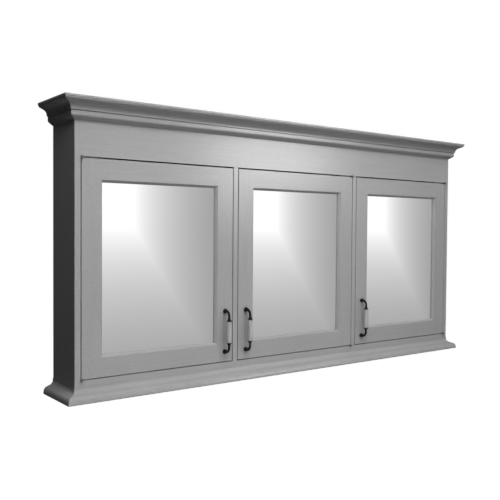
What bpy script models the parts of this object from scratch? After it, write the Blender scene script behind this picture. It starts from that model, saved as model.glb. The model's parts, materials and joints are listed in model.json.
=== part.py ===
"""Wall-hung bathroom cabinet: three framed mirror doors in a moulded face frame.

Metres, +Z up. X runs along the cabinet, the front faces -Y and the wall is the plane y = 0.
The origin is the centre of the hanging rail's back face, on the wall. Heights below are
measured up from the face's lower edge, where the base moulding starts, and the empty
"face_lower_edge" carries every piece down to its place under the origin.
"""

import math

import bmesh
import bpy
from mathutils import Vector

# Carcass
FACE_WIDTH = 1.200
DEPTH = 0.116
BOARD = 0.013
RAIL_THICKNESS = 0.018
BACK_THICKNESS = 0.006
CARCASS_LOW = -0.0300
CARCASS_HIGH = 0.5866
SEAM = 0.0003
EDGE_ROUND = 0.001
HANGING_RAIL_LOW = 0.500
HANGING_RAIL_HIGH = 0.580
LOWER_RAIL_LOW = 0.012
LOWER_RAIL_HIGH = 0.062
SHELF_HEIGHT = 0.235
SHELF_FRONT = -0.090
SHELF_SIDE_PLAY = 0.001

# Door openings
OPENING_LOW = 0.0116
OPENING_HIGH = 0.4716
SIDE_GAP = 0.002
TOP_GAP = 0.003
BOTTOM_GAP = 0.002

# Doors
DOOR_THICKNESS = 0.020
STILE_WIDTH = 0.043
TOP_RAIL_WIDTH = 0.043
BOTTOM_RAIL_WIDTH = 0.041
STICKING_WIDTH = 0.0065
STICKING_QUIRK = 0.0010
STICKING_FALL = 0.0058
STICKING_DEPTH = 0.0075
STICKING_ROOT = 0.0010
MIRROR_THICKNESS = 0.004
BACKING_THICKNESS = 0.006
GLAZING_PLAY = 0.0005

# Knife hinges
PIN_AHEAD = 0.0025
PIN_INSIDE_OPENING = 0.0025
PIN_RADIUS = 0.0014
EYE_HOLE_RADIUS = 0.00175
EYE_RADIUS = 0.0032
LEAF_THICKNESS = 0.0025
LEAF_LENGTH = 0.038
LEAF_BACK = 0.019
LEAF_WIDTH = 0.009
LEAF_CORNER = 0.002
LEAF_HEEL = -0.0002
LEAF_CLEARANCE = 0.0004
EYE_SEGMENTS = 16

# Crown and base mouldings, as projection from the face and height. Curves have a centre and two radii.
MOULDING_SEGMENTS = 5
CROWN_LOW = 0.5441
CROWN_BEAD = (0.0008, 0.5571), (0.0110, 0.0130)
CROWN_QUIRK = (0.0118, 0.5618), (0.0108, 0.5624), (0.0140, 0.5630)
CROWN_COVE = (0.0267, 0.5640), (0.0127, 0.0138)
CROWN_LIP = (0.0267, 0.5861), (0.0060, 0.0068)
CROWN_FILLET_LOW = 0.5856
CROWN_HIGH = 0.5896
CROWN_PROJECTION = 0.0334
BASE_HIGH = -0.0002
BASE_COVE = (0.0105, -0.0002), (0.0100, 0.0146)
BASE_OVOLO = (0.0105, -0.0272), (0.0110, 0.0116)
BASE_FILLET_HIGH = -0.0276
BASE_LOW = -0.0327
BASE_PROJECTION = 0.0220

# Handles
HANDLE_CENTRES = 0.096
HANDLE_HEIGHT = 0.0714
HANDLE_EDGE_DISTANCE = 0.022
GRIP_LENGTH = 0.050
GRIP_STANDOFF = 0.019
GRIP_MIDDLE_RADIUS = 0.0061
GRIP_END_RADIUS = 0.0055
GRIP_END_ROUND = 0.0006
GRIP_SHOULDER_SHARE = 0.97
GRIP_STEPS = 8
FOOT_ANGLE = -30
BALL_RADIUS = 0.0056
BALL_STEPS = 7
ARM_RADIUS = 0.0028
BEND_STEPS = 6
BELL_RADIUS = 0.0065
BELL_SHARES = (0.30, 0.55, 0.75, 0.90)
BELL_RIM = 0.0008
ROD_RADIUS = 0.0017
BORE_RADIUS = 0.00205
SOCKET_DEPTH = 0.005
HANDLE_SIDES = 12
HANDLE_CREASE_ANGLE = 40

FACE_Y = -DEPTH
HALF_WIDTH = FACE_WIDTH / 2
DATUM_HEIGHT = -(HANGING_RAIL_LOW + HANGING_RAIL_HIGH) / 2
BAY_WIDTH = (FACE_WIDTH - 4 * BOARD) / 3
BAY_PITCH = BAY_WIDTH + BOARD
DOOR_WIDTH = BAY_WIDTH - 2 * SIDE_GAP
DOOR_LOW = OPENING_LOW + BOTTOM_GAP
DOOR_HEIGHT = OPENING_HIGH - TOP_GAP - DOOR_LOW
PIN_OFFSET = BAY_WIDTH / 2 - PIN_INSIDE_OPENING
BEHIND_FRONT_RAIL = FACE_Y + RAIL_THICKNESS + SEAM
BACK_PANEL_REAR = -RAIL_THICKNESS - SEAM
BACK_PANEL_FRONT = BACK_PANEL_REAR - BACK_THICKNESS

# Each door: name, bay centre, and the side of its hinges (-1 left, +1 right)
DOORS = (("left", -BAY_PITCH, -1), ("middle", 0.0, 1), ("right", BAY_PITCH, 1))
LEFT, RIGHT = -1, 1
SIDES = {LEFT: "left", RIGHT: "right"}
FACES = {
    "-x": (-1, 0, 0),
    "+x": (1, 0, 0),
    "-y": (0, -1, 0),
    "+y": (0, 1, 0),
    "-z": (0, 0, -1),
    "+z": (0, 0, 1),
}


def clear_scene():
    for thing in list(bpy.data.objects):
        bpy.data.objects.remove(thing)


def make_material(name, colour, roughness, metallic=0.0):
    material = bpy.data.materials.new(name)
    material.use_nodes = True
    shader = material.node_tree.nodes["Principled BSDF"]
    shader.inputs["Base Color"].default_value = (*colour, 1.0)
    shader.inputs["Roughness"].default_value = roughness
    shader.inputs["Metallic"].default_value = metallic
    return material


def finish_mesh(shape, name):
    bmesh.ops.recalc_face_normals(shape, faces=shape.faces)
    mesh = bpy.data.meshes.new(name)
    shape.to_mesh(mesh)
    shape.free()
    return mesh


def loft(rings, name, ring_shaped=False):
    """A closed body through rings of equal length; a ring-shaped one has no end caps."""
    shape = bmesh.new()
    loops = [[shape.verts.new(point) for point in ring] for ring in rings]
    pairs = list(zip(loops, loops[1:]))
    if ring_shaped:
        pairs.append((loops[-1], loops[0]))
    else:
        shape.faces.new(loops[0])
        shape.faces.new(loops[-1])
    for one, other in pairs:
        for here in range(len(one)):
            after = (here + 1) % len(one)
            shape.faces.new((one[here], one[after], other[after], other[here]))
    return finish_mesh(shape, name)


def prism(outline, low, high, name):
    """An outline of x and y, extruded between two heights."""
    return loft([[(x, y, z) for x, y in outline] for z in (low, high)], name)


def box(low, high, name, rounded=()):
    """A block between two corners; each rounded edge is named by its two faces."""
    shape = bmesh.new()
    bmesh.ops.create_cube(shape, size=1.0)
    for vertex in shape.verts:
        vertex.co = [low[i] if vertex.co[i] < 0 else high[i] for i in range(3)]
    bmesh.ops.recalc_face_normals(shape, faces=shape.faces)
    wanted = [{FACES[one], FACES[other]} for one, other in rounded]
    edges = [
        edge
        for edge in shape.edges
        if {tuple(round(c) for c in face.normal) for face in edge.link_faces} in wanted
    ]
    if edges:
        bmesh.ops.bevel(shape, geom=edges, offset=EDGE_ROUND, segments=2, profile=0.5, affect="EDGES")
    return finish_mesh(shape, name)


def combine(mesh, tool, operation):
    """The mesh after a Boolean with the tool's mesh."""
    pair = [bpy.data.objects.new("combine_" + part.name, part) for part in (mesh, tool)]
    for item in pair:
        bpy.context.scene.collection.objects.link(item)
    step = pair[0].modifiers.new("combine", "BOOLEAN")
    step.operation = operation
    step.object = pair[1]
    evaluated = pair[0].evaluated_get(bpy.context.evaluated_depsgraph_get())
    result = bpy.data.meshes.new_from_object(evaluated)
    result.name = mesh.name
    for item in pair:
        bpy.data.objects.remove(item)
    return result


def shifted(mesh, offset):
    moved = mesh.copy()
    for vertex in moved.vertices:
        vertex.co += Vector(offset)
    return moved


def place(name, mesh, material, parent, location=(0, 0, 0)):
    item = bpy.data.objects.new(name, mesh)
    bpy.context.scene.collection.objects.link(item)
    item.data.materials.clear()
    item.data.materials.append(material)
    item.parent = parent
    item.location = location
    return item


def make_empty(name, parent, location):
    empty = bpy.data.objects.new(name, None)
    bpy.context.scene.collection.objects.link(empty)
    empty.parent = parent
    empty.location = location
    return empty


def add_board(name, low, high, material, parent, rounded=()):
    """A board whose object sits at the board's own centre."""
    centre = (Vector(low) + Vector(high)) / 2
    mesh = box(Vector(low) - centre, Vector(high) - centre, name, rounded)
    return place(name, mesh, material, parent, centre)


def arc(centre, radii, start, end, segments=MOULDING_SEGMENTS):
    """Points on a quarter or part of an ellipse, from one angle to another in degrees."""
    angles = [math.radians(start + (end - start) * i / segments) for i in range(segments + 1)]
    return [(centre[0] + radii[0] * math.cos(a), centre[1] + radii[1] * math.sin(a)) for a in angles]


# Knife hinges. Outlines are measured from the pin: x towards the door's middle, y to the back.

def leaf_outline():
    heel_angle = 360 - math.degrees(math.acos(LEAF_HEEL / EYE_RADIUS))
    eye = arc((0, 0), (EYE_RADIUS, EYE_RADIUS), 0, -heel_angle, 12)
    front = LEAF_BACK - LEAF_WIDTH
    tip = [
        (LEAF_HEEL, LEAF_BACK),
        (LEAF_LENGTH - LEAF_CORNER, LEAF_BACK),
        (LEAF_LENGTH, LEAF_BACK - LEAF_CORNER),
        (LEAF_LENGTH, front + LEAF_CORNER),
        (LEAF_LENGTH - LEAF_CORNER, front),
        (EYE_RADIUS, front),
    ]
    return eye + tip


def mortise_outline():
    front = LEAF_BACK - LEAF_WIDTH - SEAM
    neck = EYE_RADIUS + SEAM
    ahead = PIN_AHEAD / 2
    outside = -EYE_RADIUS
    return [
        (outside, ahead),
        (neck, ahead),
        (neck, front),
        (LEAF_LENGTH + SEAM, front),
        (LEAF_LENGTH + SEAM, LEAF_BACK + SEAM),
        (outside, LEAF_BACK + SEAM),
    ]


def handed(outline, hinge_side):
    """The outline for a door hinged on that side, whose middle lies the other way."""
    return [(-hinge_side * x, y) for x, y in outline]


def leaf_heights(upper):
    """Heights above the door's lower edge: door leaf, frame leaf and pin, each low and high."""
    gap = TOP_GAP if upper else BOTTOM_GAP
    proud = (gap - LEAF_CLEARANCE) / 2
    door_leaf = (proud - LEAF_THICKNESS, proud)
    frame_leaf = (proud + LEAF_CLEARANCE, proud + LEAF_CLEARANCE + LEAF_THICKNESS)
    pin = (door_leaf[0] - SEAM, frame_leaf[0] + LEAF_THICKNESS / 2)
    spans = (door_leaf, frame_leaf, pin)
    if upper:
        return [(DOOR_HEIGHT + low, DOOR_HEIGHT + high) for low, high in spans]
    return [(-high, -low) for low, high in spans]


def circle(radius, count):
    return arc((0, 0), (radius, radius), 0, 360 - 360 / count, count - 1)


def door_leaf_mesh(hinge_side, upper):
    low, high = leaf_heights(upper)[0]
    plate = prism(handed(leaf_outline(), hinge_side), low, high, "door_leaf")
    hole = prism(circle(EYE_HOLE_RADIUS, EYE_SEGMENTS), low - BOARD, high + BOARD, "eye_hole")
    return combine(plate, hole, "DIFFERENCE")


def frame_leaf_mesh(hinge_side, upper):
    spans = leaf_heights(upper)
    plate = prism(handed(leaf_outline(), hinge_side), *spans[1], "frame_leaf")
    pin = prism(circle(PIN_RADIUS, EYE_SEGMENTS), *spans[2], "pin")
    return combine(plate, pin, "UNION")


def mortise_mesh(hinge_side, upper, in_door):
    """A cutter for one leaf's mortise, running out past the surface it is cut in."""
    low, high = leaf_heights(upper)[0 if in_door else 1]
    if upper == in_door:
        span = (low - SEAM, high + LEAF_THICKNESS)
    else:
        span = (low - LEAF_THICKNESS, high + SEAM)
    return prism(handed(mortise_outline(), hinge_side), *span, "mortise")


# Carcass

def mortised_rail(name, low, high, upper, material, parent):
    """The rail above or below the doors, with a mortise for each door's frame leaf."""
    mesh = box(low, high, name)
    for _, centre, hinge_side in DOORS:
        pin = (centre + hinge_side * PIN_OFFSET, FACE_Y - PIN_AHEAD, DOOR_LOW)
        mesh = combine(mesh, shifted(mortise_mesh(hinge_side, upper, False), pin), "DIFFERENCE")
    return place(name, mesh, material, parent)


def partition_mesh():
    """A board on edge, notched at its upper front corner round the head rail."""
    profile = [
        (FACE_Y, OPENING_LOW + SEAM),
        (BACK_PANEL_FRONT - SEAM, OPENING_LOW + SEAM),
        (BACK_PANEL_FRONT - SEAM, CARCASS_HIGH - BOARD - SEAM),
        (BEHIND_FRONT_RAIL, CARCASS_HIGH - BOARD - SEAM),
        (BEHIND_FRONT_RAIL, OPENING_HIGH - SEAM),
        (FACE_Y, OPENING_HIGH - SEAM),
    ]
    return loft([[(x, y, z) for y, z in profile] for x in (-BOARD / 2, BOARD / 2)], "partition")


def add_carcass(paint, plain, datum):
    inner = HALF_WIDTH - BOARD
    between = inner - SEAM
    for side in (LEFT, RIGHT):
        ends = sorted((side * HALF_WIDTH, side * inner))
        outer = "-x" if side == LEFT else "+x"
        low, high = (ends[0], FACE_Y, CARCASS_LOW), (ends[1], 0, CARCASS_HIGH)
        add_board(SIDES[side] + "_side_panel", low, high, paint, datum, [("-y", outer)])
        centre = (side * BAY_PITCH / 2, 0, 0)
        place(SIDES[side] + "_partition", partition_mesh(), paint, datum, centre)

    rear = BACK_PANEL_FRONT - SEAM
    front = BEHIND_FRONT_RAIL
    roof = CARCASS_HIGH - BOARD
    floor = OPENING_LOW - BOARD
    add_board("top_panel", (-between, front, roof), (between, rear, CARCASS_HIGH), paint, datum)
    add_board("bottom_panel", (-between, front, floor), (between, rear, OPENING_LOW), paint, datum)
    back = (-between, BACK_PANEL_FRONT, floor), (between, BACK_PANEL_REAR, CARCASS_HIGH)
    add_board("back_panel", *back, plain, datum)
    rails = {
        "hanging_rail": (HANGING_RAIL_LOW, HANGING_RAIL_HIGH),
        "lower_back_rail": (LOWER_RAIL_LOW, LOWER_RAIL_HIGH),
    }
    for name, (low, high) in rails.items():
        add_board(name, (-between, -RAIL_THICKNESS, low), (between, 0, high), plain, datum)

    face_back = FACE_Y + RAIL_THICKNESS
    head = (-between, FACE_Y, OPENING_HIGH), (between, face_back, CARCASS_HIGH)
    mortised_rail("head_rail", *head, True, paint, datum)
    foot = (-between, FACE_Y, CARCASS_LOW), (between, face_back, OPENING_LOW)
    mortised_rail("bottom_rail", *foot, False, paint, datum)


def add_shelves(paint, datum):
    reach = BAY_WIDTH / 2 - SHELF_SIDE_PLAY
    for name, centre, _ in DOORS:
        low = (centre - reach, SHELF_FRONT, SHELF_HEIGHT)
        high = (centre + reach, BACK_PANEL_FRONT - SHELF_SIDE_PLAY, SHELF_HEIGHT + BOARD)
        add_board(name + "_shelf", low, high, paint, datum, [("-y", "+z"), ("-y", "-z")])


# Mouldings. A profile is a list of (projection from the face, height).

def crown_profile():
    bead = arc(*CROWN_BEAD, -90, 0) + list(CROWN_QUIRK)
    cove = arc(*CROWN_COVE, 180, 95)
    lip = arc(*CROWN_LIP, -90, -8)
    fillet = [(CROWN_PROJECTION, CROWN_FILLET_LOW), (CROWN_PROJECTION, CROWN_HIGH)]
    return [(SEAM, CROWN_LOW)] + bead + cove + lip + fillet + [(SEAM, CROWN_HIGH)]


def base_profile():
    cove = arc(*BASE_COVE, 180, 268)[1:]
    ovolo = arc(*BASE_OVOLO, 86, 4)
    fillet = [(BASE_PROJECTION, BASE_FILLET_HIGH), (BASE_PROJECTION, BASE_LOW)]
    return [(SEAM, BASE_HIGH)] + cove + ovolo + fillet + [(SEAM, BASE_LOW)]


def add_mouldings(kind, profile, paint, datum):
    """A front length mitred to a return along each side of the cabinet."""
    rings = [
        [(side * (HALF_WIDTH + out - SEAM), FACE_Y - out, up) for out, up in profile]
        for side in (LEFT, RIGHT)
    ]
    place(kind + "_front", loft(rings, kind + "_front"), paint, datum)
    for side in (LEFT, RIGHT):
        wall = [(side * (HALF_WIDTH + out), 0, up) for out, up in profile]
        mitre = [(side * (HALF_WIDTH + out), FACE_Y - out + SEAM, up) for out, up in profile]
        name = kind + "_" + SIDES[side] + "_return"
        place(name, loft([wall, mitre], name), paint, datum)


# Doors. Coordinates start at the middle of the door's lower front edge.

def sticking_profile():
    """The moulded inner edge, as (distance in from the frame member, depth from the front)."""
    ovolo = arc((0, STICKING_QUIRK + STICKING_FALL), (STICKING_WIDTH, STICKING_FALL), -90, 0)
    return [(-STICKING_ROOT, STICKING_QUIRK)] + ovolo + [
        (STICKING_WIDTH, STICKING_DEPTH),
        (-STICKING_ROOT, STICKING_DEPTH),
    ]


def stile_mesh(side):
    outer = side * DOOR_WIDTH / 2
    inner = side * (DOOR_WIDTH / 2 - STILE_WIDTH)
    low = (min(outer, inner), 0, 0)
    high = (max(outer, inner), DOOR_THICKNESS, DOOR_HEIGHT)
    outer_face = "-x" if side == LEFT else "+x"
    body = box(low, high, "stile", [("-y", outer_face), ("-y", "-z"), ("-y", "+z")])
    rails = ((BOTTOM_RAIL_WIDTH, 1), (DOOR_HEIGHT - TOP_RAIL_WIDTH, -1))
    ends = [
        [(inner - side * a, b, rail + direction * (a + SEAM)) for a, b in sticking_profile()]
        for rail, direction in rails
    ]
    return combine(body, loft(ends, "sticking"), "UNION")


def rail_mesh(upper):
    reach = DOOR_WIDTH / 2 - STILE_WIDTH - SEAM
    edge, direction = (DOOR_HEIGHT - TOP_RAIL_WIDTH, -1) if upper else (BOTTOM_RAIL_WIDTH, 1)
    outer = DOOR_HEIGHT if upper else 0
    low = (-reach, 0, min(edge, outer))
    high = (reach, DOOR_THICKNESS, max(edge, outer))
    body = box(low, high, "rail", [("-y", "+z" if upper else "-z")])
    ends = [
        [(side * (reach - max(a, 0)), b, edge + direction * a) for a, b in sticking_profile()]
        for side in (LEFT, RIGHT)
    ]
    return combine(body, loft(ends, "sticking"), "UNION")


def pane_mesh(front, thickness, name):
    reach = DOOR_WIDTH / 2 - STILE_WIDTH - GLAZING_PLAY
    low = (-reach, front, BOTTOM_RAIL_WIDTH + GLAZING_PLAY)
    high = (reach, front + thickness, DOOR_HEIGHT - TOP_RAIL_WIDTH - GLAZING_PLAY)
    return box(low, high, name)


# Handles. A post's path leaves the door, turns a quarter circle and runs along the grip.

def smooth(mesh):
    mesh.shade_smooth()
    mesh.set_sharp_from_angle(angle=math.radians(HANDLE_CREASE_ANGLE))
    return mesh


def post_stations():
    """(out from the door, along towards the grip, path angle, radius) at each ring of a post."""
    neck_angle = math.degrees(math.acos(ARM_RADIUS / BALL_RADIUS))
    foot = arc((0, 0), (BALL_RADIUS, BALL_RADIUS), FOOT_ANGLE, neck_angle, BALL_STEPS)
    stations = [(out - foot[0][1], 0, 0, radius) for radius, out in foot]
    bend_start = stations[-1][0]
    bend = GRIP_STANDOFF - bend_start
    for step in range(1, BEND_STEPS + 1):
        angle = math.pi / 2 * step / BEND_STEPS
        out = bend_start + bend * math.sin(angle)
        stations.append((out, bend * (1 - math.cos(angle)), angle, ARM_RADIUS))
    rim = (HANDLE_CENTRES - GRIP_LENGTH) / 2 - SEAM
    flare = BELL_RADIUS - ARM_RADIUS
    bell = [(bend + (rim - bend) * share, ARM_RADIUS + flare * share**3) for share in BELL_SHARES]
    bell += [(rim - BELL_RIM, BELL_RADIUS), (rim, BELL_RADIUS)]
    return stations + [(GRIP_STANDOFF, along, math.pi / 2, radius) for along, radius in bell]


def post_mesh(upper):
    """The upper post ends in the tie rod through the grip, the lower one in its socket."""
    stations = post_stations()
    rim = stations[-1][1]
    if upper:
        inner = ((rim, ROD_RADIUS), (rim + GRIP_LENGTH + SOCKET_DEPTH, ROD_RADIUS))
    else:
        inner = ((rim, BORE_RADIUS), (rim - SOCKET_DEPTH, BORE_RADIUS))
    stations += [(GRIP_STANDOFF, along, math.pi / 2, radius) for along, radius in inner]
    down = -1 if upper else 1
    rings = []
    for out, along, angle, radius in stations:
        ring = []
        for side in range(HANDLE_SIDES):
            turn = 2 * math.pi * side / HANDLE_SIDES
            across, lift = radius * math.cos(turn), radius * math.sin(turn)
            outward = out + lift * math.sin(angle)
            lengthwise = along - lift * math.cos(angle)
            ring.append((across, -outward, down * lengthwise))
        rings.append(ring)
    return smooth(loft(rings, "handle_post"))


def grip_mesh():
    """A slightly barrel-shaped tube, centred on its own length."""
    half = GRIP_LENGTH / 2
    swell = GRIP_MIDDLE_RADIUS - GRIP_END_RADIUS
    end_radius = GRIP_END_RADIUS - GRIP_END_ROUND
    outer = [(-half, end_radius)]
    for step in range(GRIP_STEPS + 1):
        along = GRIP_SHOULDER_SHARE * (2 * step / GRIP_STEPS - 1)
        outer.append((half * along, GRIP_END_RADIUS + swell * (1 - along**2)))
    outer.append((half, end_radius))
    bore = [(half, BORE_RADIUS), (-half, BORE_RADIUS)]
    rings = [[(x, y, z) for x, y in circle(radius, HANDLE_SIDES)] for z, radius in outer + bore]
    return smooth(loft(rings, "handle_grip", ring_shaped=True))


def add_handle(name, x, origin, pivot, metal, ceramic):
    at = Vector(origin) + Vector((x, -SEAM, HANDLE_HEIGHT))
    half = HANDLE_CENTRES / 2
    place(name + "_handle_upper_post", post_mesh(True), metal, pivot, at + Vector((0, 0, half)))
    place(name + "_handle_lower_post", post_mesh(False), metal, pivot, at - Vector((0, 0, half)))
    place(name + "_handle_grip", grip_mesh(), ceramic, pivot, at - Vector((0, GRIP_STANDOFF, 0)))


def add_door(name, centre, hinge_side, colours, datum):
    pin = (centre + hinge_side * PIN_OFFSET, FACE_Y - PIN_AHEAD, DOOR_LOW)
    pivot = make_empty(name + "_door_pivot", datum, pin)
    origin = (-hinge_side * PIN_OFFSET, PIN_AHEAD, 0)
    paint, steel = colours["paint"], colours["hinge"]

    for side in (LEFT, RIGHT):
        mesh = stile_mesh(side)
        for upper in (True, False) if side == hinge_side else ():
            cutter = shifted(mortise_mesh(hinge_side, upper, True), -Vector(origin))
            mesh = combine(mesh, cutter, "DIFFERENCE")
        place(name + "_door_" + SIDES[side] + "_stile", mesh, paint, pivot, origin)
    place(name + "_door_top_rail", rail_mesh(True), paint, pivot, origin)
    place(name + "_door_bottom_rail", rail_mesh(False), paint, pivot, origin)

    mirror_front = STICKING_DEPTH + SEAM
    backing_front = mirror_front + MIRROR_THICKNESS + SEAM
    mirror = pane_mesh(mirror_front, MIRROR_THICKNESS, "mirror")
    backing = pane_mesh(backing_front, BACKING_THICKNESS, "backing")
    place(name + "_mirror", mirror, colours["mirror"], pivot, origin)
    place(name + "_mirror_backing", backing, colours["board"], pivot, origin)

    for upper in (True, False):
        level = "upper" if upper else "lower"
        place(f"{name}_{level}_door_leaf", door_leaf_mesh(hinge_side, upper), steel, pivot)
        place(f"{name}_{level}_frame_leaf", frame_leaf_mesh(hinge_side, upper), steel, datum, pin)

    handle_x = -hinge_side * (DOOR_WIDTH / 2 - HANDLE_EDGE_DISTANCE)
    add_handle(name, handle_x, origin, pivot, colours["metal"], colours["ceramic"])


def main():
    clear_scene()
    colours = {
        "paint": make_material("grey_paint", (0.36, 0.36, 0.36), 0.42),
        "board": make_material("back_board", (0.46, 0.42, 0.36), 0.70),
        "mirror": make_material("mirror_glass", (0.90, 0.91, 0.91), 0.03, 1.0),
        "hinge": make_material("hinge_steel", (0.45, 0.44, 0.42), 0.35, 1.0),
        "metal": make_material("dark_iron", (0.03, 0.03, 0.03), 0.40, 0.8),
        "ceramic": make_material("glazed_ceramic", (0.72, 0.72, 0.70), 0.12),
    }
    datum = make_empty("face_lower_edge", None, (0, 0, DATUM_HEIGHT))
    add_carcass(colours["paint"], colours["board"], datum)
    add_shelves(colours["paint"], datum)
    add_mouldings("crown", crown_profile(), colours["paint"], datum)
    add_mouldings("base", base_profile(), colours["paint"], datum)
    for name, centre, hinge_side in DOORS:
        add_door(name, centre, hinge_side, colours, datum)


main()
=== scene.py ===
"""The looks of a wall-hung bathroom cabinet with three mirror doors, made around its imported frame.

Metres, +Z up. The face looks along -Y and the wall is the plane y = 0. A wooden piece is modelled
where it stands, so its own coordinates are the frame's coordinates. Hardware is modelled about its
own origin and then placed.
"""

import json
import math

import bmesh
import bpy
from mathutils import Matrix, Vector


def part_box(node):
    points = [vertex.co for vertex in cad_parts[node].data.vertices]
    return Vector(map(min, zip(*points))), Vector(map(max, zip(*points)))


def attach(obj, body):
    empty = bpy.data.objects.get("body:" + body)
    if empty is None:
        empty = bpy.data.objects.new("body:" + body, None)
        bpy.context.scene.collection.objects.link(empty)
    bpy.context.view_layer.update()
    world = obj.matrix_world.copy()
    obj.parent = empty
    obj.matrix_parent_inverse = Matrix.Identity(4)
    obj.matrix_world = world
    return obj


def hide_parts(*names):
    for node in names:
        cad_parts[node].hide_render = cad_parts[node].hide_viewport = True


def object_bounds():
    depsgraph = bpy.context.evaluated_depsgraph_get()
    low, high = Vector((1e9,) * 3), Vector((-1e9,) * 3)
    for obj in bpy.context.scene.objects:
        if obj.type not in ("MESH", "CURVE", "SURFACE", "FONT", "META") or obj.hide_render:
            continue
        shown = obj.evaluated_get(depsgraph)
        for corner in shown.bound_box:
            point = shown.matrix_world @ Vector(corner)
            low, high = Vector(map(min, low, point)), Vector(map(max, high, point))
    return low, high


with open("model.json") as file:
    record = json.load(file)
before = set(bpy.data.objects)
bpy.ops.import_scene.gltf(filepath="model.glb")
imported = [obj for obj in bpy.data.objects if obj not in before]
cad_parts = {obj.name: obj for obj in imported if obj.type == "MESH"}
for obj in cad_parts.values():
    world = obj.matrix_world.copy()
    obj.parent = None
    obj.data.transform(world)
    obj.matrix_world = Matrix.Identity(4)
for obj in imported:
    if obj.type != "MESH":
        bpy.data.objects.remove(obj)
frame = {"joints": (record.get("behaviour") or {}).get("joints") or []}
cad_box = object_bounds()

# Camera: yaw is measured from +Y towards +X, and angles are in degrees
CAMERA_PLACE = Vector((-1.1652, -1.4594, -0.2180))
CAMERA_YAW = 36.947
CAMERA_PITCH = -1.581
CAMERA_ROLL = 0.406
CAMERA_LENS = 50.2
CAMERA_SENSOR = 36.0

# Studio
AMBIENT = 0.02
# How bright reflections of the room are, by direction: axis, range on it, and tone at each end
GLOSS_RAMPS = {
    "height": ("Z", -0.6, 0.8, 0.30, 0.50),
    "behind": ("Y", -0.3, 0.4, 1.0, 0.06),
    "left": ("X", -0.35, 0.35, 1.7, 1.0),
}
# Each lamp's place, diameter and power. The lamps light the paint and the window gives its sheen.
LAMPS = {
    "key": ((-0.45, -1.25, 1.45), 0.95, 22.0),
    "right": ((0.45, -1.45, 1.30), 0.50, 10.0),
    "far_left": ((-1.00, -1.20, 0.80), 0.50, 6.5),
    "low": ((-0.15, -1.35, -0.75), 0.50, 3.5),
    "below": ((-0.40, -1.20, -1.30), 0.60, 2.0),
    "overhead": ((-0.20, -0.90, 1.60), 0.40, 3.0),
    "back": ((1.00, 2.40, 1.10), 1.20, 40.0),
}
WINDOW_PLACE = (5.36, -7.0, 0.87)
WINDOW_SIZE = (1.62, 1.30)
WINDOW_POWER = 69.0
FLOOR_HEIGHT = -1.87
FLOOR_REACH = 9.0
FLOOR_TONE = 0.85
# The light cards: their plane, brightness and clear rim, and where and how fast they fall off
CARD_PLANE = -1.46
CARD_BRIGHTNESS = 1.08
CARD_MARGIN = 0.13
CARD_FADE_START = 0.265
CARD_FADE_ACROSS = 2.28
CARD_FADE_DOWN = 1.95

# Joinery that the frame's boxes don't give
SEAM = 0.0003
ARRIS = 0.0010
DOOR_ARRIS = 0.0004
BOARD_ARRIS = 0.0004
STICKING_WIDTH = 0.0065
STICKING_REACH = 0.0052
STICKING_SWEEP = (-66, -14)
STICKING_QUIRK = 0.0010
STICKING_FALL = 0.0058
STICKING_DEPTH = 0.0075
STICKING_ROOT = 0.0010
GLASS_ARRIS = 0.0004
# How far the pane's dark edge finish shows past the sticking on the front: a thin painted shade line where
# the mirror meets its frame
SHADE_RIM_SHOWN = 0.0008
SMOOTH_ANGLE = 32
ARC_STEPS = 14

# Knife hinges, measured from the pin
EYE_RADIUS = 0.0032
EYE_HOLE_RADIUS = 0.00175
PIN_RADIUS = 0.0014
PIN_AHEAD = 0.0025
LEAF_LENGTH = 0.038
LEAF_BACK = 0.019
LEAF_FRONT = 0.010
LEAF_CORNER = 0.0025
LEAF_THICKNESS = 0.0025
LEAF_SCREWS = (0.0130, 0.0300)
EYE_STEPS = 40

# Handles
GRIP_STANDOFF = 0.019
GRIP_MIDDLE_RADIUS = 0.0061
GRIP_END_RADIUS = 0.0055
BALL_RADIUS = 0.0056
COLLAR_RADIUS = 0.0035
ARM_RADIUS = 0.0028
BELL_RADIUS = 0.0065
ROD_RADIUS = 0.0017
BORE_RADIUS = 0.00205
SOCKET_DEPTH = 0.005
HANDLE_SIDES = 28
FOOT_ANGLE = -30

# Small hardware
SCREW_SIDES = 20
CLEARANCE = 0.0001
CATCH_HEIGHT = -0.180
CATCH_SIZE = (0.0120, 0.0150, 0.0450)
CATCH_GAP = 0.0016
POLE_SIZE = (0.0016, 0.0026, 0.0320)
POLE_OFFSET = 0.004
POLE_SHOWN = 0.0006
STRIKE_SIZE = (0.0150, 0.0008, 0.0380)
SHELF_PIN_RADIUS = 0.0025
SHELF_PIN_SINK = 0.001

DIRECTIONS = {
    "left": (-1, 0, 0),
    "right": (1, 0, 0),
    "front": (0, -1, 0),
    "back": (0, 1, 0),
    "under": (0, 0, -1),
    "top": (0, 0, 1),
}
LEFT, RIGHT = -1, 1
SIDES = {LEFT: "left", RIGHT: "right"}
DOORS = {"left": LEFT, "middle": RIGHT, "right": RIGHT}
JOINTS = {joint["child"]: joint for joint in frame["joints"]}


# Materials

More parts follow.
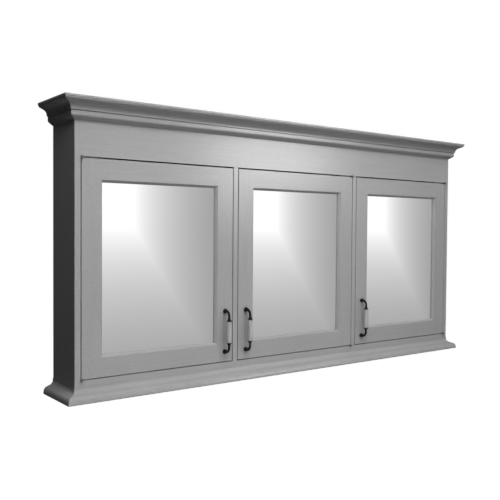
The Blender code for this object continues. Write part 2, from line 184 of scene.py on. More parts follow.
class Finish:
    """A Principled material, with short ways to add its procedural detail."""

    def __init__(self, name, metallic=0.0, **settings):
        self.material = bpy.data.materials.new(name)
        self.material.use_nodes = True
        self.tree = self.material.node_tree
        self.shader = self.tree.nodes["Principled BSDF"]
        self.shader.inputs["Metallic"].default_value = metallic
        for socket, value in settings.items():
            self.shader.inputs[socket.replace("_", " ").title()].default_value = value
        self.place = self.add("ShaderNodeTexCoord").outputs["Object"]

    def add(self, kind, **settings):
        item = self.tree.nodes.new(kind)
        for name, value in settings.items():
            setattr(item, name, value)
        return item

    def feed(self, item, values):
        """Each value is either a number or colour, or another node's output."""
        for key, value in values.items():
            if isinstance(value, bpy.types.NodeSocket):
                self.tree.links.new(value, item.inputs[key])
            else:
                item.inputs[key].default_value = value
        return item

    def noise(self, scale, detail=2.0, roughness=0.5):
        """Noise with so many grains to the metre along x, y and z."""
        stretch = self.feed(self.add("ShaderNodeMapping"), {"Vector": self.place, "Scale": scale})
        texture = self.add("ShaderNodeTexNoise")
        settings = {"Vector": stretch.outputs[0], "Scale": 1.0, "Detail": detail, "Roughness": roughness}
        return self.feed(texture, settings).outputs["Fac"]

    def math(self, operation, *values):
        item = self.add("ShaderNodeMath", operation=operation)
        return self.feed(item, dict(enumerate(values))).outputs[0]

    def blend(self, parts):
        """The weighted sum of several outputs, each (output, weight)."""
        total = 0.0
        for output, weight in parts:
            total = self.math("MULTIPLY_ADD", output, weight, total)
        return total

    def spread(self, value, low, high, start=0.3, end=0.7):
        """The value's start to end, as low to high."""
        item = self.add("ShaderNodeMapRange", interpolation_type="SMOOTHSTEP")
        keys = {"Value": value, "From Min": start, "From Max": end, "To Min": low, "To Max": high}
        return self.feed(item, keys).outputs["Result"]

    def colour(self, share, dark, light):
        item = self.add("ShaderNodeMix", data_type="RGBA")
        self.feed(item, {0: share, 6: (*dark, 1.0), 7: (*light, 1.0)})
        self.tree.links.new(item.outputs[2], self.shader.inputs["Base Color"])

    def roughness(self, value):
        self.tree.links.new(value, self.shader.inputs["Roughness"])

    def bump(self, height, depth, strength=1.0):
        item = self.add("ShaderNodeBump")
        self.feed(item, {"Strength": strength, "Distance": depth, "Height": height})
        self.tree.links.new(item.outputs["Normal"], self.shader.inputs["Normal"])


def even(grains):
    return (grains, grains, grains)


def along(axis, grains_along, grains_across):
    return tuple(grains_along if letter == axis else grains_across for letter in "xyz")


def grey(value):
    return (value, value, value)


def painted_wood(axis):
    """Satin paint over wood whose grain runs along one axis and just shows through."""
    finish = Finish("grey_paint_along_" + axis)
    streaks = finish.noise(along(axis, 6, 260), detail=3)
    ridges = finish.noise(along(axis, 14, 900), detail=1)
    mottle = finish.noise(even(330), detail=2)
    cloud = finish.noise(even(7), detail=2)
    tone = finish.blend([(streaks, 0.30), (ridges, 0.08), (mottle, 0.46), (cloud, 0.16)])
    finish.colour(finish.spread(tone, 0, 1, 0.34, 0.66), grey(0.340), grey(0.382))
    finish.roughness(finish.spread(finish.blend([(mottle, 0.5), (cloud, 0.5)]), 0.17, 0.23))
    finish.bump(finish.blend([(streaks, 0.5), (ridges, 0.2), (mottle, 0.3)]), 0.0004, 0.22)
    return finish.material


def plain_board():
    """Unpainted fibreboard: fine pressed fibres with darker flecks."""
    finish = Finish("plain_board")
    fibres = finish.noise((420, 420, 160), detail=4, roughness=0.65)
    flecks = finish.noise(even(900), detail=1)
    cloud = finish.noise(even(9), detail=3)
    tone = finish.blend([(fibres, 0.5), (flecks, 0.25), (cloud, 0.25)])
    finish.colour(finish.spread(tone, 0, 1, 0.36, 0.64), (0.36, 0.325, 0.275), (0.52, 0.48, 0.42))
    finish.roughness(finish.spread(fibres, 0.62, 0.82))
    finish.bump(finish.blend([(fibres, 0.7), (flecks, 0.3)]), 0.0004, 0.4)
    return finish.material


def mirror_silver():
    """Silvered glass, with the faintest of smears."""
    finish = Finish("mirror_silver", metallic=1.0, coat_weight=0.3, coat_roughness=0.02)
    smears = finish.noise((5, 5, 9), detail=4, roughness=0.6)
    dust = finish.noise(even(700), detail=1)
    finish.colour(finish.spread(finish.blend([(smears, 0.7), (dust, 0.3)]), 0, 1), grey(0.925), grey(0.945))
    finish.roughness(finish.spread(smears, 0.006, 0.022))
    finish.bump(smears, 0.00004, 0.2)
    return finish.material


def glass_edge_and_shade_rim():
    """The ground edge and painted back of a mirror pane, also shown as a thin dark rim on its front: a
    painted shade line beside the sticking.
    """
    finish = Finish("mirror_edge_and_back", coat_weight=0.2, coat_roughness=0.2)
    grind = finish.noise((900, 300, 900), detail=2)
    finish.colour(finish.spread(grind, 0, 1), (0.17, 0.20, 0.19), (0.27, 0.31, 0.30))
    finish.roughness(finish.spread(grind, 0.28, 0.5))
    finish.bump(grind, 0.0001, 0.4)
    return finish.material


def cast_iron():
    """Blackened casting with a fine grain, rubbed a little lighter in places."""
    finish = Finish("blackened_casting", metallic=0.6)
    grain = finish.noise(even(1800), detail=3)
    rubbed = finish.noise(even(130), detail=3)
    share = finish.spread(finish.blend([(grain, 0.35), (rubbed, 0.65)]), 0, 1, 0.45, 0.8)
    finish.colour(share, grey(0.006), (0.034, 0.033, 0.031))
    finish.roughness(finish.spread(rubbed, 0.38, 0.58))
    finish.bump(grain, 0.00025, 0.35)
    return finish.material


def ceramic():
    """Pale glazed ceramic with a very fine crackle under the glaze."""
    finish = Finish("glazed_ceramic", coat_weight=0.5, coat_roughness=0.04)
    cells = finish.add("ShaderNodeTexVoronoi", feature="DISTANCE_TO_EDGE")
    finish.feed(cells, {"Vector": finish.place, "Scale": 420.0})
    crackle = finish.spread(cells.outputs["Distance"], 0, 1, 0.0, 0.06)
    depth = finish.noise((60, 60, 30), detail=3)
    share = finish.math("MULTIPLY", finish.spread(depth, 0.7, 1.0), finish.spread(crackle, 0.72, 1.0, 0, 1))
    finish.colour(share, grey(0.26), grey(0.46))
    finish.roughness(finish.spread(depth, 0.10, 0.18))
    finish.bump(crackle, 0.00006, 0.3)
    return finish.material


def brushed_steel():
    """Dull grey steel, brushed along the leaves."""
    finish = Finish("satin_steel", metallic=1.0)
    brushed = finish.noise((60, 2200, 2200), detail=2)
    stain = finish.noise(even(90), detail=3)
    finish.colour(finish.spread(finish.blend([(brushed, 0.6), (stain, 0.4)]), 0, 1), grey(0.22), grey(0.34))
    finish.roughness(finish.spread(brushed, 0.40, 0.54))
    finish.bump(brushed, 0.00008, 0.3)
    return finish.material


def screw_steel():
    """Zinc-plated screws, pins and strike plates."""
    finish = Finish("zinc_plate", metallic=1.0)
    spangle = finish.noise(even(500), detail=3)
    finish.colour(finish.spread(spangle, 0, 1), (0.42, 0.42, 0.41), (0.66, 0.66, 0.64))
    finish.roughness(finish.spread(spangle, 0.24, 0.42))
    finish.bump(spangle, 0.00006, 0.3)
    return finish.material


def moulded_plastic():
    """The magnetic catches' housings: fine-grained moulded plastic."""
    finish = Finish("catch_plastic")
    grain = finish.noise(even(1500), detail=2)
    cloud = finish.noise(even(60), detail=2)
    finish.colour(finish.spread(finish.blend([(grain, 0.4), (cloud, 0.6)]), 0, 1), grey(0.42), grey(0.50))
    finish.roughness(finish.spread(grain, 0.42, 0.56))
    finish.bump(grain, 0.00010, 0.4)
    return finish.material


# Meshes

def to_mesh(shape, name):
    bmesh.ops.recalc_face_normals(shape, faces=shape.faces)
    mesh = bpy.data.meshes.new(name)
    shape.to_mesh(mesh)
    shape.free()
    return mesh


def loft(rings, name, ring_shaped=False):
    """A closed body through rings of equal length; a ring-shaped one has no end caps."""
    shape = bmesh.new()
    loops = [[shape.verts.new(point) for point in ring] for ring in rings]
    pairs = list(zip(loops, loops[1:]))
    if ring_shaped:
        pairs.append((loops[-1], loops[0]))
    else:
        shape.faces.new(loops[0])
        shape.faces.new(loops[-1])
    for one, other in pairs:
        for here in range(len(one)):
            after = (here + 1) % len(one)
            shape.faces.new((one[here], one[after], other[after], other[here]))
    return to_mesh(shape, name)


def prism(outline, low, high, name, arris=0.0):
    """An outline of x and y, extruded between two heights, with its edges rounded."""
    mesh = loft([[(x, y, z) for x, y in outline] for z in (low, high)], name)
    return rounded(mesh, arris) if arris else mesh


def rounded(mesh, arris, joints=(), steps=3):
    """The mesh with its edges rounded, but for those of the faces that look towards a joint."""
    shape = bmesh.new()
    shape.from_mesh(mesh)
    kept = [Vector(DIRECTIONS[word]) for word in joints]

    def is_free(edge):
        bent = edge.calc_face_angle(0) > math.radians(40)
        return bent and not any(face.normal.dot(way) > 0.99 for face in edge.link_faces for way in kept)

    edges = [edge for edge in shape.edges if is_free(edge)]
    bmesh.ops.bevel(shape, geom=edges, offset=arris, segments=steps, profile=0.5, affect="EDGES")
    return to_mesh(shape, mesh.name)


def block(low, high, name, arris=BOARD_ARRIS, joints=()):
    corners = [(low[0], low[1]), (high[0], low[1]), (high[0], high[1]), (low[0], high[1])]
    mesh = prism(corners, low[2], high[2], name)
    return rounded(mesh, arris, joints) if arris else mesh


def combine(mesh, tool, operation):
    """The mesh after a Boolean with the tool's mesh."""
    pair = [bpy.data.objects.new("combine_" + part.name, part) for part in (mesh, tool)]
    for item in pair:
        bpy.context.scene.collection.objects.link(item)
    step = pair[0].modifiers.new("combine", "BOOLEAN")
    step.operation = operation
    step.object = pair[1]
    evaluated = pair[0].evaluated_get(bpy.context.evaluated_depsgraph_get())
    result = bpy.data.meshes.new_from_object(evaluated)
    result.name = mesh.name
    for item in pair:
        bpy.data.objects.remove(item)
    return result


def arc(centre, radii, start, end, steps=ARC_STEPS):
    """Points on part of an ellipse, from one angle to another in degrees."""
    angles = [math.radians(start + (end - start) * i / steps) for i in range(steps + 1)]
    return [(centre[0] + radii[0] * math.cos(a), centre[1] + radii[1] * math.sin(a)) for a in angles]


def circle(radius, count):
    return arc((0, 0), (radius, radius), 0, 360 - 360 / count, count - 1)


def turned(profile, name, sides=HANDLE_SIDES):
    """A body turned about z, from a list of (radius, height)."""
    return loft([[(x, y, z) for x, y in circle(radius, sides)] for radius, z in profile], name)


def add_piece(name, mesh, material, body, nodes=(), matrix=None):
    """A finished piece: its shading, material, body and the CAD nodes that it stands for."""
    piece = bpy.data.objects.new(name, mesh)
    bpy.context.scene.collection.objects.link(piece)
    if matrix:
        piece.matrix_world = matrix
    mesh.materials.clear()
    mesh.materials.append(material)
    mesh.shade_smooth()
    mesh.set_sharp_from_angle(angle=math.radians(SMOOTH_ANGLE))
    weights = piece.modifiers.new("even_normals", "WEIGHTED_NORMAL")
    weights.keep_sharp = True
    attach(piece, body)
    if nodes:
        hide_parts(*nodes)
    return piece


# Carcass

def add_boards(paint, board):
    """Every plain board of the carcass, with its edges rounded."""
    finishes = {
        "left_side_panel": paint["z"],
        "right_side_panel": paint["z"],
        "top_panel": paint["x"],
        "bottom_panel": paint["x"],
        "left_shelf": paint["x"],
        "middle_shelf": paint["x"],
        "right_shelf": paint["x"],
        "back_panel": board,
        "hanging_rail": board,
        "lower_back_rail": board,
    }
    joints = {"left_side_panel": ["right"], "right_side_panel": ["left"]}
    for node, material in finishes.items():
        mesh = block(*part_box(node), node, BOARD_ARRIS, joints.get(node, ()))
        add_piece(node + "_board", mesh, material, "carcass", [node])


def add_partitions(paint):
    """The partitions, notched round the head rail, whose front edges show between the doors."""
    rail_low, rail_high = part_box("head_rail")
    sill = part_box("bottom_rail")[1].z
    for side in SIDES.values():
        node = side + "_partition"
        low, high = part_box(node)
        low.z = sill
        profile = [
            (low.y, low.z),
            (high.y, low.z),
            (high.y, high.z),
            (rail_high.y + SEAM, high.z),
            (rail_high.y + SEAM, rail_low.z),
            (low.y, rail_low.z),
        ]
        mesh = loft([[(x, y, z) for y, z in profile] for x in (low.x, high.x)], node)
        mesh = rounded(mesh, BOARD_ARRIS, ["top", "under"])
        add_piece(node + "_board", mesh, paint["z"], "carcass", [node])


def add_face_rails(paint):
    """The rails above and below the doors, mortised for the hinges' frame leaves."""
    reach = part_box("right_side_panel")[0].x
    for node, level in (("head_rail", "upper"), ("bottom_rail", "lower")):
        low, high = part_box(node)
        low.x, high.x = -reach, reach
        mesh = block(low, high, node, BOARD_ARRIS, ["left", "right"])
        for door in DOORS:
            mesh = combine(mesh, mortise_mesh(door, level, "frame"), "DIFFERENCE")
        add_piece(node + "_board", mesh, paint["x"], "carcass", [node])


# Mouldings. A profile is a list of (projection from the face, height above the frame's origin).

def crown_profile(low, high):
    """From the bottom: ovolo bead, quirk, cove, lip and top fillet, up to the box's top."""
    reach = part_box("head_rail")[0].y - low.y
    top = high.z
    bead = [(0.0008, top - 0.0455)] + arc((0.0056, top - 0.0345), (0.0062, 0.0062), -58, 0)
    quirk = [(0.0118, top - 0.0278), (0.0108, top - 0.0272), (0.0140, top - 0.0266)]
    cove = arc((0.0267, top - 0.0256), (0.0127, 0.0138), 180, 95)
    lip = arc((0.0267, top - 0.0035), (0.0060, 0.0068), -90, -8)
    fillet = [(reach, top - 0.0040)] + arc((reach - ARRIS, top - ARRIS), (ARRIS, ARRIS), 0, 90, 4)
    return [(SEAM, low.z)] + bead + quirk + cove + lip + fillet + [(SEAM, top)]


def base_profile(low, high):
    """From the top: a step, cove, ledge, ovolo and bottom fillet, down to the box's underside."""
    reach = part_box("head_rail")[0].y - low.y
    top = high.z
    step = [(0.0011, top), (0.0011, top - 0.0022)]
    cove = arc((0.0105, top - 0.0024), (0.0098, 0.0122), 180, 268)[1:]
    ledge = [(0.0112, top - 0.0152)]
    ovolo = arc((0.0112, top - 0.0270), (0.0103, 0.0112), 86, 4)
    fillet = [(reach, top - 0.0274)] + arc((reach - ARRIS, low.z + ARRIS), (ARRIS, ARRIS), 0, -90, 4)
    return [(SEAM, top)] + step + cove + ledge + ovolo + fillet + [(SEAM, low.z)]


def add_mouldings(kind, make_profile, paint):
    """A front length mitred to a return along each side."""
    profile = make_profile(*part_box(kind + "_front"))
    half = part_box("right_side_panel")[1].x
    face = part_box("head_rail")[0].y
    rings = [[(side * (half + out - SEAM), face - out, up) for out, up in profile] for side in (LEFT, RIGHT)]
    front = kind + "_front"
    add_piece(front + "_moulding", loft(rings, front), paint["x"], "carcass", [front])
    for side, word in SIDES.items():
        node = f"{kind}_{word}_return"
        wall = [(side * (half + out), 0, up) for out, up in profile]
        mitre = [(side * (half + out), face - out + SEAM, up) for out, up in profile]
        add_piece(node + "_moulding", loft([wall, mitre], node), paint["y"], "carcass", [node])


# Hinges. Outlines are measured from the pin: x towards the door's middle, y to the back.

def pin_place(door):
    """The pin's axis, as x and y, from the door's joint."""
    return JOINTS[door + "_door"]["pos_m"][:2]


def handed(outline, door):
    """An outline about the door's pin, turned to the side that its hinges are on."""
    x, y = pin_place(door)
    return [(x - DOORS[door] * across, y + back) for across, back in outline]


def leaf_outline():
    eye_end = -(360 - math.degrees(math.acos(-0.0002 / EYE_RADIUS)))
    eye = arc((0, 0), (EYE_RADIUS, EYE_RADIUS), 0, eye_end, EYE_STEPS)
    corner = (LEAF_CORNER, LEAF_CORNER)
    rear = arc((LEAF_LENGTH - LEAF_CORNER, LEAF_BACK - LEAF_CORNER), corner, 90, 0, 5)
    front = arc((LEAF_LENGTH - LEAF_CORNER, LEAF_FRONT + LEAF_CORNER), corner, 0, -90, 5)
    return eye + [(-0.0002, LEAF_BACK)] + rear + front + [(EYE_RADIUS, LEAF_FRONT)]


def plate_span(door, level, leaf):
    """The heights of a leaf's plate; the pin makes the rest of a frame leaf's box."""
    low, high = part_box(f"{door}_{level}_{leaf}_leaf")
    if leaf == "door":
        return low.z, high.z
    if level == "upper":
        return high.z - LEAF_THICKNESS, high.z
    return low.z, low.z + LEAF_THICKNESS


def faces_up(level, leaf):
    """A door leaf lies on its door's end, and a frame leaf in the rail facing it."""
    return (level == "upper") == (leaf == "door")


def mortise_mesh(door, level, leaf):
    """A cutter for one leaf's mortise, running out past the surface that it is cut in."""
    low, high = plate_span(door, level, leaf)
    if faces_up(level, leaf):
        span = (low - SEAM, high + LEAF_THICKNESS)
    else:
        span = (low - LEAF_THICKNESS, high + SEAM)
    outside, neck = -EYE_RADIUS, EYE_RADIUS + SEAM
    front, tip, back = LEAF_FRONT - SEAM, LEAF_LENGTH + SEAM, LEAF_BACK + SEAM
    ahead = PIN_AHEAD / 2
    outline = [(outside, ahead), (neck, ahead), (neck, front), (tip, front), (tip, back), (outside, back)]
    return prism(handed(outline, door), *span, "mortise")


def countersunk_screw(length=0.012):
    """A flat-headed screw, its head's top at z = 0 and its shank below."""
    head, shank, depth = 0.0029, 0.0013, 0.0017
    profile = [(0.0001, -length), (shank * 0.7, -length + 0.0016), (shank, -length + 0.003)]
    profile += [(shank, -depth), (head, -0.0002), (head, 0), (0.0001, 0)]
    screw = turned(profile, "countersunk_screw", SCREW_SIDES)
    return cross_slotted(screw, 0.0017, 0.0010)


def cross_slotted(screw, reach, depth):
    """The screw with a cross recess cut in its head, whose top is at z = 0."""
    for half in ((reach, 0.0003), (0.0003, reach)):
        slot = block((-half[0], -half[1], -depth), (half[0], half[1], depth), "slot", 0)
        screw = combine(screw, slot, "DIFFERENCE")
    return screw


def screw_hole():
    """A cutter for a countersunk hole whose mouth is at z = 0, slightly wider than its screw."""
    profile = [(0.0015, -0.006), (0.0015, -0.0016), (0.0031, -0.0001), (0.0031, 0.001)]
    return turned(profile, "hole", SCREW_SIDES)


def moved(mesh, matrix):
    copy = mesh.copy()
    copy.transform(matrix)
    return copy


def joined(meshes, name):
    shape = bmesh.new()
    for mesh in meshes:
        shape.from_mesh(mesh)
    return to_mesh(shape, name)


def leaf_mesh(door, level, leaf):
    """The plate with its eye, and the pin on a frame leaf or the pin's hole in a door leaf."""
    low, high = plate_span(door, level, leaf)
    plate = prism(handed(leaf_outline(), door), low, high, "leaf", 0.0002)
    if leaf == "door":
        hole = prism(handed(circle(EYE_HOLE_RADIUS, EYE_STEPS), door), low - 0.01, high + 0.01, "eye_hole")
        return combine(plate, hole, "DIFFERENCE")
    box_low, box_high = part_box(f"{door}_{level}_frame_leaf")
    middle = (low + high) / 2
    span = (box_low.z, middle) if level == "upper" else (middle, box_high.z)
    pin = prism(handed(circle(PIN_RADIUS, EYE_STEPS), door), *span, "pin", 0.0002)
    return combine(plate, pin, "UNION")


def add_leaf(door, level, leaf, metals, screw, hole):
    node = f"{door}_{level}_{leaf}_leaf"
    body = door + "_door" if leaf == "door" else "carcass"
    up = faces_up(level, leaf)
    mouth = plate_span(door, level, leaf)[1 if up else 0]
    turn = Matrix.Identity(4) if up else Matrix.Rotation(math.pi, 4, "X")
    centres = handed([(across, (LEAF_FRONT + LEAF_BACK) / 2) for across in LEAF_SCREWS], door)
    spots = [Matrix.Translation((*centre, mouth)) @ turn for centre in centres]
    mesh = leaf_mesh(door, level, leaf)
    for spot in spots:
        mesh = combine(mesh, moved(hole, spot), "DIFFERENCE")
    add_piece(node + "_plate", mesh, metals["hinge"], body, [node])
    screws = joined([moved(screw, spot) for spot in spots], node + "_screws")
    add_piece(node + "_screws", screws, metals["screw"], body)


def add_hinges(door, metals):
    screw, hole = countersunk_screw(), screw_hole()
    for level in ("upper", "lower"):
        for leaf in ("door", "frame"):
            add_leaf(door, level, leaf, metals, screw, hole)


# Doors

def sticking_profile():
    """The moulded inner edge, as (distance in from the frame member, depth from the front)."""
    sweep = arc((0, 0), (1, 1), *STICKING_SWEEP)
    (start, high), (end, low) = sweep[0], sweep[-1]
    across, down = STICKING_REACH / (end - start), STICKING_FALL / (low - high)
    ovolo = [((x - start) * across, STICKING_QUIRK + (y - high) * down) for x, y in sweep]
    return [(-STICKING_ROOT, STICKING_QUIRK)] + ovolo + [
        (STICKING_REACH, STICKING_DEPTH),
        (-STICKING_ROOT, STICKING_DEPTH),
    ]


def rail_edges(door):
    """The heights of the rails' inner edges, where the sticking starts."""
    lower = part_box(door + "_door_bottom_rail")[1].z - STICKING_WIDTH
    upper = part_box(door + "_door_top_rail")[0].z + STICKING_WIDTH
    return lower, upper


def stile_mesh(door, side):
    """A stile with its sticking, mitred to the rails', and mortises on the hinge side."""
    low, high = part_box(f"{door}_door_{SIDES[side]}_stile")
    inner = (low.x if side == RIGHT else high.x) + side * STICKING_WIDTH
    outer = high.x if side == RIGHT else low.x
    corners = (min(inner, outer), low.y, low.z), (max(inner, outer), high.y, high.z)
    body = block(*corners, "stile", DOOR_ARRIS, [SIDES[-side]])
    ends = []
    for edge, direction in zip(rail_edges(door), (1, -1)):
        ends.append([
            (inner - side * across, low.y + deep, edge + direction * across)
            for across, deep in sticking_profile()
        ])
    mesh = combine(body, loft(ends, "sticking"), "UNION")
    if side == DOORS[door]:
        for level in ("upper", "lower"):
            mesh = combine(mesh, mortise_mesh(door, level, "door"), "DIFFERENCE")
    return mesh


def rail_mesh(door, level):
    low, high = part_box(f"{door}_door_{level}_rail")
    edge, direction = list(zip(rail_edges(door), (1, -1)))[level == "top"]
    outer = high.z if level == "top" else low.z
    low.x, high.x = low.x - SEAM, high.x + SEAM
    corners = (low.x, low.y, min(edge, outer)), (high.x, high.y, max(edge, outer))
    inner_face = "under" if level == "top" else "top"
    body = block(*corners, "rail", DOOR_ARRIS, ["left", "right", inner_face])
    ends = []
    for side, end in ((LEFT, low.x), (RIGHT, high.x)):
        ends.append([
            (end - side * max(across, 0), low.y + deep, edge + direction * across)
            for across, deep in sticking_profile()
        ])
    return combine(body, loft(ends, "sticking"), "UNION")


def add_frame_members(door, paint):
    body = door + "_door"
    for side, word in SIDES.items():
        node = f"{body}_{word}_stile"
        add_piece(node + "_wood", stile_mesh(door, side), paint["z"], body, [node])
    for level in ("top", "bottom"):
        node = f"{body}_{level}_rail"
        add_piece(node + "_wood", rail_mesh(door, level), paint["x"], body, [node])


def pane_mesh(node):
    """A pane with ground edges, whose front is cut into the silvered field and a dark rim, which is painted
    shade where the pane meets the sticking.
    """
    shape = bmesh.new()
    shape.from_mesh(block(*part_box(node), node, GLASS_ARRIS))
    shape.faces.ensure_lookup_table()
    front = min(shape.faces, key=lambda face: (round(face.calc_center_median().y, 5), -face.calc_area()))
    # The inset leaves a rim of the dark edge finish showing past the sticking, as painted shade
    bmesh.ops.inset_region(shape, faces=[front], thickness=STICKING_REACH - GLASS_ARRIS + SHADE_RIM_SHOWN)
    return to_mesh(shape, node)


def add_pane(door, silver, edge, board):
    """The mirror, silvered on its broad front, and its backing board."""
    body = door + "_door"
    node = door + "_mirror"
    pane = add_piece(node + "_pane", pane_mesh(node), edge, body, [node])
    pane.data.materials.append(silver)
    front = min(pane.data.polygons, key=lambda face: (round(face.center.y, 5), -face.area))
    front.material_index = 1
    node = door + "_mirror_backing"
    add_piece(node + "_board", block(*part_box(node), node), board, body, [node])


# Handles. A post leaves the door, turns a quarter circle and runs along the grip.

def post_stations(rim):
    """(out from the door, along towards the grip, path angle, radius) at each ring of a post."""
    foot = math.radians(FOOT_ANGLE)
    centre = -BALL_RADIUS * math.sin(foot)
    neck = math.acos(ARM_RADIUS / BALL_RADIUS)
    stations = []
    for step in range(13):
        angle = foot + (neck - foot) * step / 12
        stations.append((centre + BALL_RADIUS * math.sin(angle), 0, 0, BALL_RADIUS * math.cos(angle)))
    bend_start = stations[-1][0]
    bend = GRIP_STANDOFF - bend_start
    for step in range(1, 19):
        angle = math.radians(90 * step / 18)
        collar = math.exp(-(((step - 2.5) / 1.2) ** 2)) * (COLLAR_RADIUS - ARM_RADIUS)
        radius = ARM_RADIUS + collar
        stations.append((bend_start + bend * math.sin(angle), bend * (1 - math.cos(angle)), angle, radius))
    flare = BELL_RADIUS - ARM_RADIUS
    for step in range(1, 15):
        share = step / 15
        along_arm = bend + (rim - bend) * share
        stations.append((GRIP_STANDOFF, along_arm, math.pi / 2, ARM_RADIUS + flare * share**3 * 0.96))
    lip = 0.0004
    for back, inset in ((2.4, 0.35), (1.8, 0.05), (1.0, 0.0), (0.3, 0.1), (0.0, 0.8)):
        stations.append((GRIP_STANDOFF, rim - back * lip, math.pi / 2, BELL_RADIUS - inset * lip))
    return stations


def post_mesh(rim, grip_length, has_rod):
    """A swept post that ends in the tie rod through the grip, or in the rod's socket."""
    stations = post_stations(rim)
    if has_rod:
        end = rim + grip_length + SOCKET_DEPTH
        inner = [(rim, ROD_RADIUS), (end - ROD_RADIUS / 2, ROD_RADIUS), (end, ROD_RADIUS / 2)]
    else:
        inner = [(rim, BORE_RADIUS), (rim - SOCKET_DEPTH, BORE_RADIUS)]
    stations += [(GRIP_STANDOFF, place, math.pi / 2, radius) for place, radius in inner]
    down = -1 if has_rod else 1
    rings = []
    for out, place, angle, radius in stations:
        across = circle(radius, HANDLE_SIDES)
        rings.append([
            (x, -(out + lift * math.sin(angle)), down * (place - lift * math.cos(angle)))
            for x, lift in across
        ])
    return loft(rings, "handle_post")


def grip_mesh(length):
    """A slightly barrel-shaped tube with softened ends, about its own middle."""
    half = length / 2
    swell = GRIP_MIDDLE_RADIUS - GRIP_END_RADIUS
    soft = 0.0007
    outer = []
    for step in range(25):
        share = -1 + 2 * step / 24
        outer.append(((half - soft) * share, GRIP_END_RADIUS + swell * (1 - share**2)))
    turn = arc((0, 0), (soft, soft), 0, 80, 4)[1:]
    head = [(half - soft + up, GRIP_END_RADIUS - soft + out) for out, up in turn]
    foot = [(-up, radius) for up, radius in reversed(head)]
    bore = [(half, BORE_RADIUS), (-half, BORE_RADIUS)]
    rings = []
    for up, radius in foot + outer + head + bore:
        rings.append([(x, y, up) for x, y in circle(radius, HANDLE_SIDES)])
    return loft(rings, "handle_grip", ring_shaped=True)


def add_handle(door, iron, glaze, screw_metal):
    """Two cast posts and a grip, with a fixing screw for each post in the door's back."""
    body = door + "_door"
    grip_low, grip_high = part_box(door + "_handle_grip")
    length = grip_high.z - grip_low.z
    x = (grip_low.x + grip_high.x) / 2
    middle = (grip_low.z + grip_high.z) / 2
    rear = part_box(door + "_door_left_stile")[1].y
    foot_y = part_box(door + "_handle_upper_post")[1].y
    ends = {
        "upper": (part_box(door + "_handle_upper_post")[1].z - BALL_RADIUS, True),
        "lower": (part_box(door + "_handle_lower_post")[0].z + BALL_RADIUS, False),
    }
    for level, (height, has_rod) in ends.items():
        node = f"{door}_handle_{level}_post"
        rim = abs(height - middle) - length / 2 - SEAM
        mesh = post_mesh(rim, length, has_rod)
        place = Matrix.Translation((x, foot_y, height))
        add_piece(node + "_casting", mesh, iron, body, [node], place)
        back = Matrix.Translation((x, rear, height)) @ Matrix.Rotation(-math.pi / 2, 4, "X")
        add_piece(node + "_screw", pan_screw(0.0038, 0.0020), screw_metal, body, (), back)
    node = door + "_handle_grip"
    place = Matrix.Translation((x, foot_y - GRIP_STANDOFF, middle))
    add_piece(node + "_ceramic", grip_mesh(length), glaze, body, [node], place)


# Small hardware

def pan_screw(radius, height, shank=0.0016, length=0.012):
    """A pan-headed screw: its head stands on z = 0, with its shank below."""
    crown = [(radius * math.cos(a), height * (0.35 + 0.65 * math.sin(a))) for a in (0, 0.5, 0.9, 1.25, 1.5)]
    profile = [(0.0001, -length), (shank, -length + 0.002), (shank, 0.0001), (radius, 0.0001)]
    screw = turned(profile + crown, "pan_screw", SCREW_SIDES)
    for half in ((radius * 0.55, 0.0003), (0.0003, radius * 0.55)):
        slot = block((-half[0], -half[1], height * 0.55), (half[0], half[1], height * 2), "slot", 0)
        screw = combine(screw, slot, "DIFFERENCE")
    return screw


def add_turn_buttons(door, metal):
    """Six clips screwed to the door's back, which turn over the edge of the backing board."""
    body = door + "_door"
    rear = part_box(body + "_left_stile")[1].y
    pane_low, pane_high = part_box(door + "_mirror_backing")
    spots = []
    for share in (0.22, 0.78):
        height = pane_low.z + (pane_high.z - pane_low.z) * share
        spots += [(pane_low.x, height, 0), (pane_high.x, height, 180)]
    middle = (pane_low.x + pane_high.x) / 2
    spots += [(middle, pane_low.z, -90), (middle, pane_high.z, 90)]
    reach, half, thick, off = 0.0075, 0.0045, 0.0012, 0.0055
    ends = arc((reach - half, 0), (half, half), -90, 90, 10)
    ends += arc((half - reach, 0), (half, half), 90, 270, 10)
    for number, (x, z, angle) in enumerate(spots, 1):
        lie = Matrix.Translation((x, rear + CLEARANCE, z)) @ Matrix.Rotation(-math.pi / 2, 4, "X")
        place = lie @ Matrix.Rotation(math.radians(angle), 4, "Z") @ Matrix.Translation((-off * 0.4, 0, 0))
        clip = prism(ends, 0, thick, "clip", 0.0002)
        screw = moved(pan_screw(0.0026, 0.0011, 0.0013, 0.010), Matrix.Translation((-0.002, 0, thick)))
        mesh = joined([clip, screw], "turn_button")
        add_piece(f"{door}_turn_button_{number}", mesh, metal, body, (), place)


def catch_block(x, wide, start, end, tall, arris=0.0002):
    """A block centred on x and on the catches' height, from start to end in y."""
    low = (x - wide / 2, start, CATCH_HEIGHT - tall / 2)
    high = (x + wide / 2, end, CATCH_HEIGHT + tall / 2)
    return block(low, high, "catch", arris)


def add_catch(door, plastic, metal):
    """A magnetic catch on the partition at the door's free edge, and its strike plate."""
    inward = DOORS[door]
    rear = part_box(f"{door}_door_{SIDES[-inward]}_stile")[1].y
    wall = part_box(("left" if door != "right" else "right") + "_partition")
    wall_x = wall[1].x if inward == RIGHT else wall[0].x
    wide, deep, tall = CATCH_SIZE
    x = wall_x + inward * (SEAM + wide) / 2
    front = rear + CATCH_GAP
    housing = catch_block(x, wide - SEAM, front, front + deep, tall, ARRIS)
    add_piece(door + "_catch_housing", housing, plastic, "carcass")
    wide, deep, tall = POLE_SIZE
    start = front - POLE_SHOWN
    poles = [catch_block(x + side * POLE_OFFSET, wide, start, start + deep, tall) for side in SIDES]
    add_piece(door + "_catch_poles", joined(poles, "poles"), metal, "carcass")
    wide, deep, tall = STRIKE_SIZE
    start = rear + CLEARANCE
    plate = catch_block(x, wide, start, start + deep, tall)
    add_piece(door + "_strike_plate", plate, metal, door + "_door")


